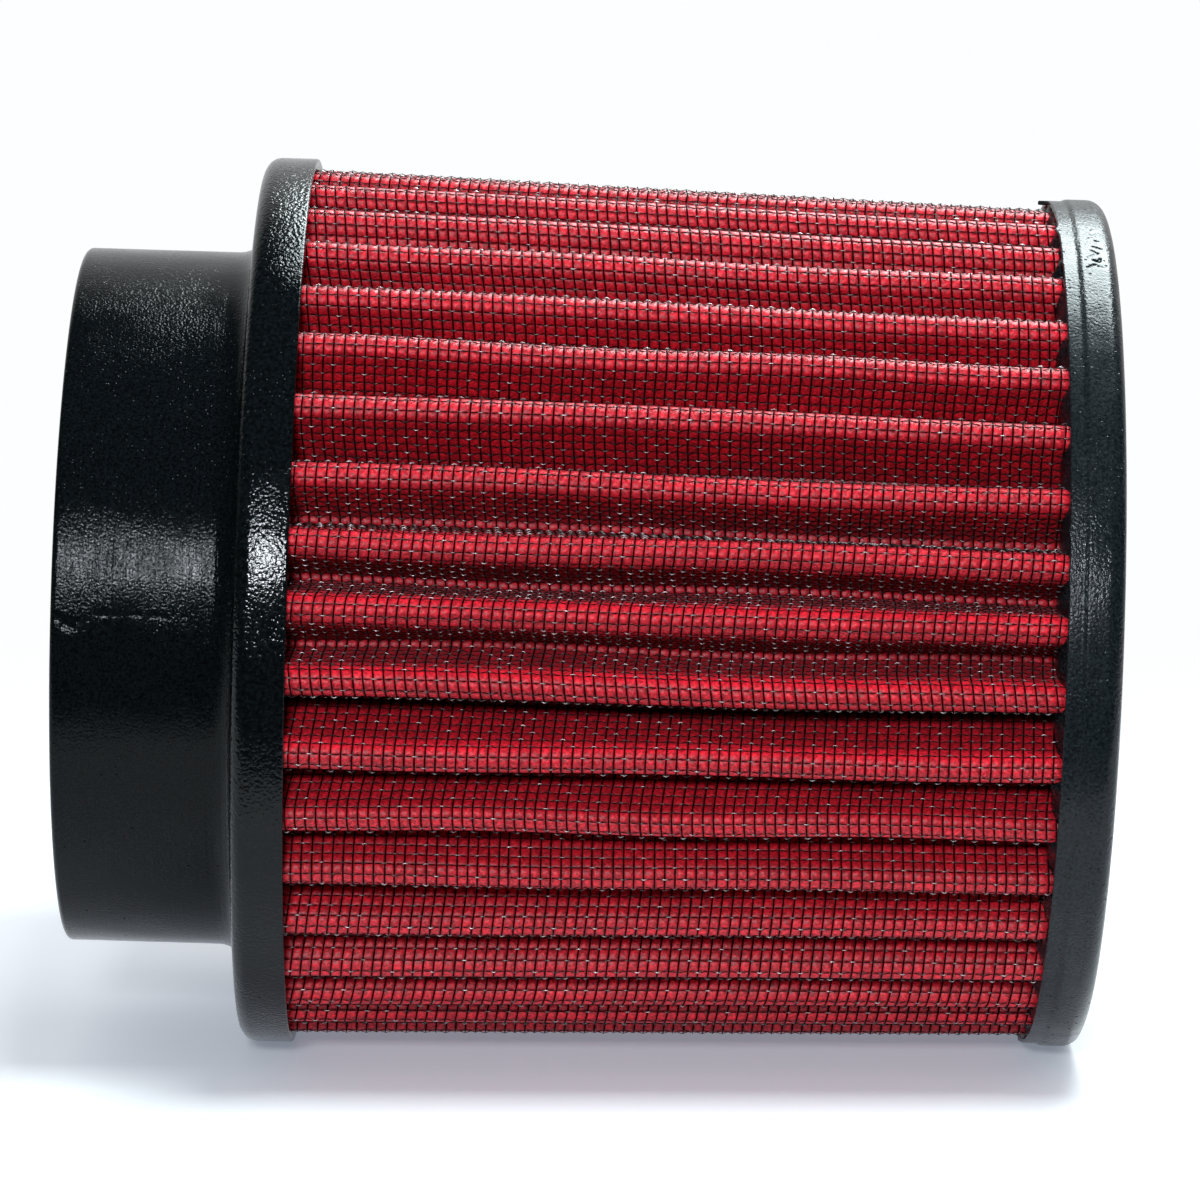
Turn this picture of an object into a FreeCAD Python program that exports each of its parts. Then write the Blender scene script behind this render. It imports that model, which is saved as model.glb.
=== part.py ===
"""Clamp-on intake air filter: a pleated gauze element between a moulded inlet flange and a moulded end cap.

The filter stands on its closed end cap. Z is its axis, the origin is the centre of the cap's outer face,
and the inlet neck opens upwards. Every length is in millimetres.
"""

import FreeCAD
import Part

import math
import os

from FreeCAD import Vector

# Inlet flange: a neck that slips over the intake pipe, a shoulder and the ring that holds the pleats
INLET_BORE_D = 101.6
NECK_WALL = 5.2
NECK_LENGTH = 28.5
NECK_EDGE_CHAMFER = 0.8
NECK_FILLET_R = 4.0
BASE_RING_D = 142.8
BASE_RING_WIDTH = 8.3
BASE_CORNER_R = 2.5
BASE_LIP_WALL = 0.8

# End cap: a shallow cup, dished outside so that it stands on its rim, with a thin stepped lip for the pleats
CAP_D = 136.9
CAP_WIDTH = 8.7
CAP_CORNER_R = 2.5
CAP_BAND_CHAMFER = 0.6
CAP_LIP_WIDTH = 1.8
CAP_LIP_STEP = 0.35
CAP_LIP_WALL = 0.6
CAP_RIM_WIDTH = 18.0
CAP_DISH_DEPTH = 1.2
CAP_DISH_DRAFT = 1.0

# Pleated element: one folded sheet of gauze between two screens of wire
PLEAT_COUNT = 40
PLEAT_DEPTH = 15.6
PLEAT_LENGTH = 117.6
SHEET_THICKNESS = 2.2
WIRE_SIZE = 0.35
FLANK_WIRE_PLACE = 0.3
POTTING_DEPTH = 4.5

# Straight facets in a quarter-round edge, and round the outside of one fold
ROUNDING_FACETS = 3
FOLD_FACETS = 4

# Clearances
SEAT_CLEARANCE = 0.1
WIRE_CLEARANCE = 0.02

# Levels along the axis, from the cap's outer face to the mouth of the neck
CAP_FACE_Z = CAP_WIDTH
PACK_BOTTOM_Z = CAP_FACE_Z - POTTING_DEPTH
FLANGE_FACE_Z = CAP_FACE_Z + PLEAT_LENGTH
PACK_TOP_Z = FLANGE_FACE_Z + POTTING_DEPTH
SHOULDER_Z = FLANGE_FACE_Z + BASE_RING_WIDTH
MOUTH_Z = SHOULDER_Z + NECK_LENGTH

# Radii that the pieces share
BORE_R = INLET_BORE_D / 2
NECK_R = BORE_R + NECK_WALL
BASE_R = BASE_RING_D / 2
CAP_R = CAP_D / 2
CAP_LIP_R = CAP_R - CAP_LIP_STEP
FLANGE_CHANNEL_R = BASE_R - BASE_LIP_WALL
CAP_CHANNEL_R = CAP_LIP_R - CAP_LIP_WALL
HALF_PITCH = math.pi / PLEAT_COUNT


def pack_outer_r(z):
    """Radius over the outer screen, in a straight taper that just clears both channels."""
    top = FLANGE_CHANNEL_R - SEAT_CLEARANCE
    bottom = CAP_CHANNEL_R - SEAT_CLEARANCE
    return bottom + (top - bottom) * (z - CAP_FACE_Z) / (PACK_TOP_Z - CAP_FACE_Z)


def pack_inner_r(z):
    """Radius inside the inner screen."""
    return pack_outer_r(z) - PLEAT_DEPTH


def crest_fold_r(z):
    """Radius of the sheet's inside corner at a crest."""
    return pack_outer_r(z) - WIRE_SIZE - WIRE_CLEARANCE - SHEET_THICKNESS


def valley_fold_r(z):
    """Radius of the sheet's outside corner in a valley."""
    return pack_inner_r(z) + WIRE_SIZE + WIRE_CLEARANCE + SHEET_THICKNESS


def polar(radius, angle, z):
    return Vector(radius * math.cos(angle), radius * math.sin(angle), z)


def rounded(before, corner, after, radius):
    """Points that round a corner of a section, on the arc that is tangent to its two sides."""
    to_before = (before - corner).normalize()
    to_after = (after - corner).normalize()
    half = to_before.getAngle(to_after) / 2
    centre = corner + (to_before + to_after).normalize() * (radius / math.sin(half))
    start = corner + to_before * (radius / math.tan(half)) - centre
    axis = to_after.cross(to_before)
    step = (math.pi - 2 * half) / ROUNDING_FACETS
    turns = [FreeCAD.Rotation(axis, math.degrees(step * i)) for i in range(ROUNDING_FACETS + 1)]
    return [centre + turn.multVec(start) for turn in turns]


def revolved(corners):
    """Solid of revolution from (radius, z, rounding) corners in order round its section."""
    places = [Vector(radius, 0, z) for radius, z, rounding in corners]
    points = []
    for i, (radius, z, rounding) in enumerate(corners):
        if rounding:
            points += rounded(places[i - 1], places[i], places[(i + 1) % len(places)], rounding)
        else:
            points.append(places[i])
    section = Part.Face(Part.makePolygon(points + points[:1]))
    return section.revolve(Vector(0, 0, 0), Vector(0, 0, 1), 360)


def make_inlet_flange():
    """Neck, shoulder and pleat ring, moulded as one piece round the inlet bore."""
    return revolved([
        (BORE_R, MOUTH_Z, 0),
        (NECK_R - NECK_EDGE_CHAMFER, MOUTH_Z, 0),
        (NECK_R, MOUTH_Z - NECK_EDGE_CHAMFER, 0),
        (NECK_R, SHOULDER_Z, NECK_FILLET_R),
        (BASE_R, SHOULDER_Z, BASE_CORNER_R),
        (BASE_R, FLANGE_FACE_Z, 0),
        (FLANGE_CHANNEL_R, FLANGE_FACE_Z, 0),
        (FLANGE_CHANNEL_R, PACK_TOP_Z, 0),
        (BORE_R, PACK_TOP_Z, 0),
    ])


def make_end_cap():
    """Closed end of the filter, with the lip that stands round the pleats."""
    dish_r = CAP_R - CAP_RIM_WIDTH
    step_z = CAP_FACE_Z - CAP_LIP_WIDTH
    return revolved([
        (0, CAP_DISH_DEPTH, 0),
        (dish_r - CAP_DISH_DRAFT, CAP_DISH_DEPTH, 0),
        (dish_r, 0, 0),
        (CAP_R, 0, CAP_CORNER_R),
        (CAP_R, step_z - CAP_BAND_CHAMFER, 0),
        (CAP_LIP_R, step_z, 0),
        (CAP_LIP_R, CAP_FACE_Z, 0),
        (CAP_CHANNEL_R, CAP_FACE_Z, 0),
        (CAP_CHANNEL_R, PACK_BOTTOM_Z, 0),
        (0, PACK_BOTTOM_Z, 0),
    ])


def flank_tilt(z):
    """Angle of the normal of the flank beside the crest at angle 0, on the side of the next pleat."""
    run = polar(valley_fold_r(z), HALF_PITCH, z) - polar(crest_fold_r(z), 0, z)
    return math.atan2(run.y, run.x) - math.acos(SHEET_THICKNESS / run.Length)


def fold_points(centre, middle, spread):
    """Points round the outside of a fold, at one sheet thickness from its corner."""
    angles = [middle - spread + 2 * spread * i / FOLD_FACETS for i in range(FOLD_FACETS + 1)]
    return [centre + polar(SHEET_THICKNESS, angle, 0) for angle in angles]


def outer_outline(z):
    """Outside of the folded sheet: round crests and sharp valleys."""
    points = []
    for k in range(PLEAT_COUNT):
        crest = 2 * HALF_PITCH * k
        points += fold_points(polar(crest_fold_r(z), crest, z), crest, flank_tilt(z))
        points.append(polar(valley_fold_r(z), crest + HALF_PITCH, z))
    return Part.makePolygon(points + points[:1])


def inner_outline(z):
    """Inside of the folded sheet: sharp folds under the crests and round backs of the valleys."""
    points = []
    for k in range(PLEAT_COUNT):
        crest = 2 * HALF_PITCH * k
        valley = crest + HALF_PITCH
        spread = HALF_PITCH - flank_tilt(z)
        points.append(polar(crest_fold_r(z), crest, z))
        points += fold_points(polar(valley_fold_r(z), valley, z), valley + math.pi, spread)
    return Part.makePolygon(points + points[:1])


def make_filter_media():
    """The gauze sheet, folded into pleats and closed into a tapered ring."""
    outside = Part.makeLoft([outer_outline(PACK_BOTTOM_Z), outer_outline(PACK_TOP_Z)], True, True)
    inside = Part.makeLoft([inner_outline(PACK_BOTTOM_Z), inner_outline(PACK_TOP_Z)], True, True)
    return outside.cut(inside)


def wire_square(seat, normal):
    """Section of a wire that lies on the sheet at a seat point, with the sheet's normal there."""
    across = Vector(0, 0, 1).cross(normal) * (WIRE_SIZE / 2)
    foot = seat + normal * WIRE_CLEARANCE
    head = foot + normal * WIRE_SIZE
    return Part.makePolygon([foot - across, foot + across, head + across, head - across, foot - across])


def wire_along(seat_and_normal):
    """One straight wire from the cap's channel to the flange's; the argument gives its seat and normal at a level."""
    ends = [wire_square(*seat_and_normal(z)) for z in (PACK_BOTTOM_Z, PACK_TOP_Z)]
    return Part.makeLoft(ends, True, True)


def crest_seat(z):
    """Top of the crest at angle 0."""
    return polar(crest_fold_r(z) + SHEET_THICKNESS, 0, z), Vector(1, 0, 0)


def flank_seat(z):
    """Outside of the flank beside the crest at angle 0, a share of the way down to the valley."""
    normal = polar(1, flank_tilt(z), 0)
    top = polar(crest_fold_r(z), 0, z) + normal * SHEET_THICKNESS
    valley = polar(valley_fold_r(z), HALF_PITCH, z)
    return top + (valley - top) * FLANK_WIRE_PLACE, normal


def valley_seat(z):
    """Back of the valley beside the crest at angle 0."""
    return polar(valley_fold_r(z) - SHEET_THICKNESS, HALF_PITCH, z), polar(-1, HALF_PITCH, 0)


def round_the_axis(wires):
    """The wires of one pleat, repeated at every pleat as one group of solids."""
    group = []
    for k in range(PLEAT_COUNT):
        for wire in wires:
            group.append(wire.rotated(Vector(0, 0, 0), Vector(0, 0, 1), math.degrees(2 * HALF_PITCH * k)))
    return Part.makeCompound(group)


def make_outer_screen():
    """Lengthwise wires of the outer screen, one on each crest and one on each of its flanks."""
    flank_wire = wire_along(flank_seat)
    other_flank_wire = flank_wire.mirror(Vector(0, 0, 0), Vector(0, 1, 0))
    return round_the_axis([wire_along(crest_seat), flank_wire, other_flank_wire])


def make_inner_screen():
    """Lengthwise wires of the inner screen, one on the back of each valley."""
    return round_the_axis([wire_along(valley_seat)])


NODES = {
    "inlet_flange": make_inlet_flange,
    "end_cap": make_end_cap,
    "filter_media": make_filter_media,
    "outer_screen": make_outer_screen,
    "inner_screen": make_inner_screen,
}


def main():
    os.makedirs("parts", exist_ok=True)
    for name, make in NODES.items():
        shape = make()
        shape.exportStep(f"parts/{name}.step")
        print(f"{name}: {len(shape.Solids)} solids, {shape.Volume / 1000:.2f} cm3, valid {shape.isValid()}")


main()
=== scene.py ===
"""Looks of a clamp-on pleated air filter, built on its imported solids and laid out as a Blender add-on."""

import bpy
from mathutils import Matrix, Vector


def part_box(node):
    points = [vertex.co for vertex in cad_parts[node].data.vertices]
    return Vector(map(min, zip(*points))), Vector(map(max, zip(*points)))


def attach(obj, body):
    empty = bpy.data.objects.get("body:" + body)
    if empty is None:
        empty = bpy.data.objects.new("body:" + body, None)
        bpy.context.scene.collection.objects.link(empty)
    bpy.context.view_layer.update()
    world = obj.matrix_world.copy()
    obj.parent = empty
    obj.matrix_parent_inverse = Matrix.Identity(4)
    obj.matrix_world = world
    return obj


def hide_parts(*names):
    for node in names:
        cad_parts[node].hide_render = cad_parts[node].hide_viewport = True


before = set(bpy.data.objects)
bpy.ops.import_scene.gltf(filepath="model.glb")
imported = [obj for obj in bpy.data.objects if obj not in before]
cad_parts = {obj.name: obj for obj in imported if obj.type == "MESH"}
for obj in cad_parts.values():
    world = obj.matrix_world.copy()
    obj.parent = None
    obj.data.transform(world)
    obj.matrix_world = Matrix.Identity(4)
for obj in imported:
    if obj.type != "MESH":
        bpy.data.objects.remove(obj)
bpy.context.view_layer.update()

import math

import bpy
import numpy as np
from bpy.props import FloatProperty, FloatVectorProperty, IntProperty, PointerProperty
from mathutils import Matrix, Vector

bl_info = {
    "name": "Pleated air filter",
    "version": (1, 0, 0),
    "blender": (4, 5, 0),
    "location": "3D View > Sidebar > Air filter",
    "description": "Builds the visible pieces of a clamp-on pleated air filter on its packed solids",
    "category": "Add Mesh",
}

MM = 0.001
FLANGE_LOW, FLANGE_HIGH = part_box("inlet_flange")
_, CAP_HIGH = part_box("end_cap")
PACK_LOW, PACK_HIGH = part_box("outer_screen")
# Radius over the outer screen at the pack's small end, and the room for a screen on the gauze's skin
PACK_SMALL_RADIUS = 67.29 * MM
SCREEN_ROOM = 0.55 * MM
SEEDS = {"flange": 3, "cap": 5, "pleats": 11, "hoops": 23, "slip": 31}

# Settings that many nodes share
SMOOTH = {"interpolation_type": "SMOOTHSTEP"}
TIMES = {"operation": "MULTIPLY"}
COLOURS = {"data_type": "RGBA"}


def linear(code):
    """Linear colour of an sRGB hex code."""
    channels = [int(code[i:i + 2], 16) / 255 for i in (1, 3, 5)]
    return tuple(c / 12.92 if c <= 0.04045 else ((c + 0.055) / 1.055) ** 2.4 for c in channels)


class MouldingSettings(bpy.types.PropertyGroup):
    neck_radius: FloatProperty(
        name="Neck radius", description="Outside radius of the inlet neck", default=56.0 * MM, unit="LENGTH")
    bore_radius: FloatProperty(
        name="Bore radius", description="Inside radius of the inlet neck", default=50.8 * MM, unit="LENGTH")
    neck_length: FloatProperty(
        name="Neck length", description="Length of the neck above its shoulder", default=28.5 * MM, unit="LENGTH")
    neck_fillet: FloatProperty(
        name="Neck fillet", description="Radius between the neck and its shoulder", default=4.0 * MM, unit="LENGTH")
    corner_radius: FloatProperty(
        name="Corner radius", description="Rounding of the outer corners of the ring and the cap",
        default=2.5 * MM, unit="LENGTH")
    flange_colour: FloatVectorProperty(
        name="Flange colour", description="Colour of the cast inlet flange",
        default=linear("#090D0F"), subtype="COLOR")
    cap_colour: FloatVectorProperty(
        name="Cap colour", description="Colour of the cast end cap, paler with mould release",
        default=linear("#161C1F"), subtype="COLOR")
    # Colour of the pale specks on the castings: partly dust, partly painted glints
    dust_and_glint_colour: FloatVectorProperty(
        name="Dust colour", description="Colour of the dust specks on the castings",
        default=linear("#9AA4A6"), subtype="COLOR")


class PleatSettings(bpy.types.PropertyGroup):
    count: IntProperty(
        name="Pleats", description="Pleats round the element", default=40, min=12)
    depth: FloatProperty(
        name="Pleat depth", description="From the top of a crest to the back of a valley",
        default=15.6 * MM, unit="LENGTH")
    sheet: FloatProperty(
        name="Sheet thickness", description="Thickness of the gauze without its screens",
        default=1.8 * MM, unit="LENGTH")
    crest_fold: FloatProperty(
        name="Crest fold", description="Radius of the middle of the sheet at a crest",
        default=1.3 * MM, unit="LENGTH")
    valley_fold: FloatProperty(
        name="Valley fold", description="Radius of the middle of the sheet in a valley",
        default=1.6 * MM, unit="LENGTH")
    unevenness: FloatProperty(
        name="Unevenness", description="How far hand-set pleats stray from even spacing",
        default=1.0, min=0.0, max=2.0, subtype="FACTOR")
    colour: FloatVectorProperty(
        name="Gauze colour", description="Colour of the oiled cotton gauze",
        default=linear("#CE1A2C"), subtype="COLOR")


class ScreenSettings(bpy.types.PropertyGroup):
    hoop_pitch: FloatProperty(
        name="Hoop pitch", description="Spacing of the wires that follow the pleats",
        default=25.4 / 16 * MM, unit="LENGTH")
    hoop_size: FloatProperty(
        name="Hoop wire", description="Diameter of the wires that follow the pleats",
        default=0.25 * MM, unit="LENGTH")
    strands: IntProperty(
        name="Strands per pleat", description="Lengthwise wires across one pleat", default=16, min=4)
    strand_size: FloatProperty(
        name="Strand wire", description="Diameter of the lengthwise wires", default=0.15 * MM, unit="LENGTH")
    colour: FloatVectorProperty(
        name="Wire colour", description="Colour of the epoxy coat on the wires",
        default=linear("#160305"), subtype="COLOR")
    worn_colour: FloatVectorProperty(
        name="Worn wire colour", description="Colour of the wire where the coat is rubbed thin",
        default=linear("#B8ACAC"), subtype="COLOR")


class StageSettings(bpy.types.PropertyGroup):
    distance: FloatProperty(
        name="Camera distance", description="From the filter's axis to the camera", default=0.9435, unit="LENGTH")
    lens: FloatProperty(
        name="Lens", description="Focal length on a 36 mm frame", default=174.5, unit="CAMERA")
    roll: FloatProperty(
        name="Roll", description="How far the neck's end lies above the cap's end in the picture",
        default=math.radians(1.713), subtype="ANGLE")
    swing: FloatProperty(
        name="Swing", description="Camera's turn round the filter's middle, towards the cap",
        default=math.radians(-0.314), subtype="ANGLE")
    lift: FloatProperty(
        name="Lift", description="Camera's height above the filter's own level",
        default=math.radians(1.456), subtype="ANGLE")
    floor_slope: FloatProperty(
        name="Floor slope", description="Angle at which the camera looks down on the floor",
        default=math.radians(9.0), subtype="ANGLE")
    floor_glow: FloatProperty(
        name="Floor glow", description="Light that the floor gives off by itself", default=0.27, min=0.0)
    room_light: FloatProperty(
        name="Room light", description="Light from the white ceiling on matt surfaces", default=0.66, min=0.0)
    floor_colour: FloatVectorProperty(
        name="Floor colour", description="Colour of the pale floor", default=linear("#F6F6F7"), subtype="COLOR")


def add(tree, kind, inputs=None, settings=None):
    """Adds one node: inputs are socket values, or sockets or nodes to link from; settings are its own values."""
    node = tree.nodes.new(kind)
    for key, value in (settings or {}).items():
        setattr(node, key, value)
    for key, value in (inputs or {}).items():
        if isinstance(value, bpy.types.Node):
            value = value.outputs[0]
        if isinstance(value, bpy.types.NodeSocket):
            tree.links.new(value, node.inputs[key])
        else:
            node.inputs[key].default_value = value
    return node


def new_material(name):
    """An empty material and its node tree."""
    material = bpy.data.materials.new(name)
    material.use_nodes = True
    material.node_tree.nodes.clear()
    return material, material.node_tree


def surfaced(material, shader):
    """The material, with a shader led to its output."""
    add(material.node_tree, "ShaderNodeOutputMaterial", {"Surface": shader})
    return material


def opaque(colour):
    return (*colour, 1.0)


def spots(tree, place, spacing, radius, share):
    """Scattered round spots: their spacing and radius in metres, and the share of places that has one."""
    cells = add(tree, "ShaderNodeTexVoronoi", {"Vector": place, "Scale": 1 / spacing}).outputs
    inside = add(tree, "ShaderNodeMapRange", {
        "Value": cells["Distance"], "From Min": 0.6 * radius / spacing, "From Max": radius / spacing,
        "To Min": 1.0, "To Max": 0.0}, SMOOTH)
    pick = add(tree, "ShaderNodeSeparateColor", {0: cells["Color"]})
    chosen = add(tree, "ShaderNodeMath", {0: pick, 1: share}, {"operation": "LESS_THAN"})
    return add(tree, "ShaderNodeMath", {0: inside, 1: chosen}, TIMES)


def cast_polyurethane(name, colour, dust_and_glint_colour, grain_size, grain_depth, wave_depth, mark_depth,
                      roughness, shine, pit_share, dust_and_glint_share):
    """Black polyurethane cast in an open metal mould: a satin skin with a leathery grain that breaks its
    highlights up, soft waves, turning marks printed from the mould, pits where bubbles met the wall, and pale
    specks that are partly dust and partly painted glints, thickest on the upper side."""
    material, tree = new_material(name)
    place = add(tree, "ShaderNodeTexCoord").outputs["Object"]
    axes = add(tree, "ShaderNodeSeparateXYZ", {0: place}).outputs
    # Turning marks run round the axis: about 0.55 mm apart, and 35 mm and more long
    angle = add(tree, "ShaderNodeMath", {0: axes["Y"], 1: axes["X"]}, {"operation": "ARCTAN2"})
    round_axis = add(tree, "ShaderNodeCombineXYZ", {"X": angle, "Z": axes["Z"]})
    per_radian, per_metre = 1.6, 1800.0
    stretch = add(tree, "ShaderNodeMapping", {"Vector": round_axis, "Scale": (per_radian, 1.0, per_metre)})
    marks = add(tree, "ShaderNodeTexNoise", {"Vector": stretch, "Scale": 1.0, "Detail": 3.0, "Roughness": 0.65})
    # Grain in patches of about 12 mm, waves of about 9 mm, and pits half a millimetre across
    grain = add(tree, "ShaderNodeTexNoise", {"Vector": place, "Scale": 1 / grain_size, "Detail": 1.5})
    patches = add(tree, "ShaderNodeTexNoise", {"Vector": place, "Scale": 1 / (12 * MM)})
    grain_share = add(tree, "ShaderNodeMapRange", {
        "Value": patches, "From Min": 0.35, "From Max": 0.65, "To Min": 0.45}, SMOOTH)
    waves = add(tree, "ShaderNodeTexNoise", {"Vector": place, "Scale": 1 / (9 * MM)})
    pits = spots(tree, place, 1.2 * MM, 0.26 * MM, pit_share)
    pit_depth = 0.25 * MM
    # The marks are worn smooth towards +X, the side that lay uppermost, where dust has settled
    worn_away = add(tree, "ShaderNodeMapRange", {
        "Value": axes["X"], "From Min": 15 * MM, "From Max": 46 * MM, "To Min": 1.0, "To Max": 0.2}, SMOOTH)
    hollow = add(tree, "ShaderNodeMath", {0: 1.0, 1: pits}, {"operation": "SUBTRACT"})
    bump = None
    for height, strength, distance in (
            (waves, 1.0, wave_depth), (marks, worn_away, mark_depth),
            (grain, grain_share, grain_depth), (hollow, 1.0, pit_depth)):
        inputs = {"Strength": strength, "Distance": distance, "Height": height}
        if bump:
            inputs["Normal"] = bump
        bump = add(tree, "ShaderNodeBump", inputs)
    # Handling leaves stretches of about 22 mm duller than others
    dull = add(tree, "ShaderNodeTexNoise",
               {"Vector": place, "Scale": 1 / (22 * MM), "Detail": 5.0, "Roughness": 0.7})
    gloss = add(tree, "ShaderNodeMapRange", {
        "Value": dull, "From Min": 0.3, "From Max": 0.7, "To Min": roughness[0], "To Max": roughness[1]})
    dead = add(tree, "ShaderNodeMath", {0: pits, 1: 0.8}, TIMES)
    matt = add(tree, "ShaderNodeMath", {0: gloss, 1: dead}, {"operation": "MAXIMUM"})
    base = np.array(colour)
    mottle = add(tree, "ShaderNodeMapRange", {"Value": grain, "From Min": 0.35, "From Max": 0.65})
    tint = add(tree, "ShaderNodeMix", {"Factor": mottle, "A": opaque(base * 0.5), "B": opaque(base * 1.5)}, COLOURS)
    # Pale specks of 0.2 mm, partly dust and partly painted glints, lie thickest on top, in the same patches as the
    # grain
    dust_and_glints = spots(tree, place, 0.6 * MM, 0.1 * MM, 0.4)
    thicker_on_top = add(tree, "ShaderNodeMapRange", {
        "Value": axes["X"], "From Min": -20 * MM, "From Max": 52 * MM, "To Min": 0.02, "To Max": dust_and_glint_share}, SMOOTH)
    in_patches = add(tree, "ShaderNodeMapRange", {"Value": patches, "From Min": 0.4, "From Max": 0.6, "To Min": 0.2}, SMOOTH)
    for share in (thicker_on_top, in_patches):
        dust_and_glints = add(tree, "ShaderNodeMath", {0: dust_and_glints, 1: share}, TIMES)
    # The pale specks, dust and painted glints, are laid over the skin's colour
    skin = add(tree, "ShaderNodeMix",
               {"Factor": dust_and_glints, "A": tint.outputs["Result"], "B": opaque(dust_and_glint_colour)}, COLOURS)
    shader = add(tree, "ShaderNodeBsdfPrincipled", {
        "Base Color": skin.outputs["Result"], "Roughness": matt, "IOR": 1.5, "Specular IOR Level": shine,
        "Normal": bump})
    return surfaced(material, shader)


def oiled_gauze(settings):
    """Woven cotton gauze, dyed by red filter oil: soft and matt with a slight wet gleam, pressed into a small
    pillow in each opening of the screen."""
    material, tree = new_material("oiled_cotton_gauze_red")
    place = add(tree, "ShaderNodeTexCoord").outputs
    cell = add(tree, "ShaderNodeSeparateXYZ", {0: place["UV"]}).outputs
    # One unit of the UV map is one opening of the screen, so the pillows keep step with the wires
    swell = []
    for axis in ("X", "Y"):
        turn = add(tree, "ShaderNodeMath", {0: cell[axis], 1: math.pi}, TIMES)
        wave = add(tree, "ShaderNodeMath", {0: turn}, {"operation": "SINE"})
        swell.append(add(tree, "ShaderNodeMath", {0: wave}, {"operation": "ABSOLUTE"}))
    pillow = add(tree, "ShaderNodeMath", {0: swell[0], 1: swell[1]}, TIMES)
    soft = add(tree, "ShaderNodeMath", {0: pillow, 1: 0.5}, {"operation": "POWER"})
    # Gauze threads of about 0.3 mm are too fine to show, so they are drawn as an irregular grain of 0.5 mm;
    # patches of about 10 mm hold more oil
    threads = add(tree, "ShaderNodeTexNoise", {"Vector": place["Object"], "Scale": 1 / (0.5 * MM), "Detail": 3.0})
    blotch = add(tree, "ShaderNodeTexNoise", {"Vector": place["Object"], "Scale": 1 / (10 * MM), "Detail": 4.0})
    opening = add(tree, "ShaderNodeVectorMath", {0: place["UV"]}, {"operation": "FLOOR"})
    each = add(tree, "ShaderNodeTexWhiteNoise", {"Vector": opening}, {"noise_dimensions": "2D"})
    base = np.array(settings.colour)
    worsted = add(tree, "ShaderNodeMapRange", {"Value": threads, "From Min": 0.36, "From Max": 0.64})
    thread_tint = add(tree, "ShaderNodeMix",
                      {"Factor": worsted, "A": opaque(base * 0.55), "B": opaque(base * 1.35)}, COLOURS)
    # Painted shade darkens the edges of each pillow, where the wires would shade the gauze; oil blotches
    # and a tone of its own for each opening vary the colour at random
    pillow_shade_and_tone = None
    for value, low, high, least, most in (
            (soft, 0.0, 0.75, 0.4, 1.0), (blotch, 0.3, 0.7, 0.88, 1.08), (each, 0.0, 1.0, 0.84, 1.08)):
        part = add(tree, "ShaderNodeMapRange", {
            "Value": value, "From Min": low, "From Max": high, "To Min": least, "To Max": most})
        pillow_shade_and_tone = add(tree, "ShaderNodeMath", {0: pillow_shade_and_tone, 1: part}, TIMES) if pillow_shade_and_tone else part
    # The threads' colour times the painted shade at the pillows' edges and the random tones
    colour = add(tree, "ShaderNodeMix", {"Factor": 1.0, "A": thread_tint.outputs["Result"], "B": pillow_shade_and_tone},
                 {**COLOURS, "blend_type": "MULTIPLY"})
    pressed = add(tree, "ShaderNodeBump", {"Strength": 0.8, "Distance": 0.3 * MM, "Height": soft})
    woven = add(tree, "ShaderNodeBump",
                {"Strength": 0.8, "Distance": 0.14 * MM, "Height": threads, "Normal": pressed})
    shader = add(tree, "ShaderNodeBsdfPrincipled", {
        "Base Color": colour.outputs["Result"], "Roughness": 0.46, "IOR": 1.46, "Specular IOR Level": 0.45,
        "Sheen Weight": 0.1, "Sheen Roughness": 0.4, "Sheen Tint": opaque(linear("#FFA8B0")), "Normal": woven})
    return surfaced(material, shader)


def coated_wire(settings):
    """Steel wire with a baked black epoxy coat, filmed with red oil: close to black, with hardly a gleam."""
    material, tree = new_material("epoxy_coated_wire_black")
    place = add(tree, "ShaderNodeTexCoord").outputs["Object"]
    # Coat thickness changes over about 1.5 mm
    coat = add(tree, "ShaderNodeTexNoise", {"Vector": place, "Scale": 1 / (1.5 * MM), "Detail": 3.0})
    roughness = add(tree, "ShaderNodeMapRange", {
        "Value": coat, "From Min": 0.3, "From Max": 0.7, "To Min": 0.3, "To Max": 0.5})
    base = np.array(settings.colour)
    tint = add(tree, "ShaderNodeMix", {"Factor": coat, "A": opaque(base * 0.5), "B": opaque(base * 1.8)}, COLOURS)
    shader = add(tree, "ShaderNodeBsdfPrincipled", {
        "Base Color": tint.outputs["Result"], "Roughness": roughness, "IOR": 1.55,
        "Specular IOR Level": 0.05, "Specular Tint": opaque(linear("#FFB0B4"))})
    return surfaced(material, shader)


def rubbed_wire(settings):
    """The same wire where folding has rubbed its coat thin: grey metal glints on the knuckles."""
    material, tree = new_material("epoxy_coated_wire_rubbed")
    place = add(tree, "ShaderNodeTexCoord").outputs["Object"]
    # Wear sits on the knuckles, and in spots of about 1.3 mm, so it differs from one knuckle to the next
    rub = add(tree, "ShaderNodeTexNoise", {"Vector": place, "Scale": 1 / (1.3 * MM), "Detail": 1.0})
    some = add(tree, "ShaderNodeMapRange", {"Value": rub, "From Min": 0.42, "From Max": 0.66, "To Min": 0.06}, SMOOTH)
    knuckle = add(tree, "ShaderNodeAttribute", None, {"attribute_name": "rubbed"}).outputs["Fac"]
    crown = add(tree, "ShaderNodeMapRange", {"Value": knuckle, "From Min": 0.3, "From Max": 0.85}, SMOOTH)
    bare = add(tree, "ShaderNodeMath", {0: crown, 1: some}, TIMES)
    tint = add(tree, "ShaderNodeMix",
               {"Factor": bare, "A": opaque(settings.colour), "B": opaque(settings.worn_colour)}, COLOURS)
    shader = add(tree, "ShaderNodeBsdfPrincipled", {
        "Base Color": tint.outputs["Result"], "Metallic": bare, "Roughness": 0.4, "Specular IOR Level": 0.02})
    return surfaced(material, shader)


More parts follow.
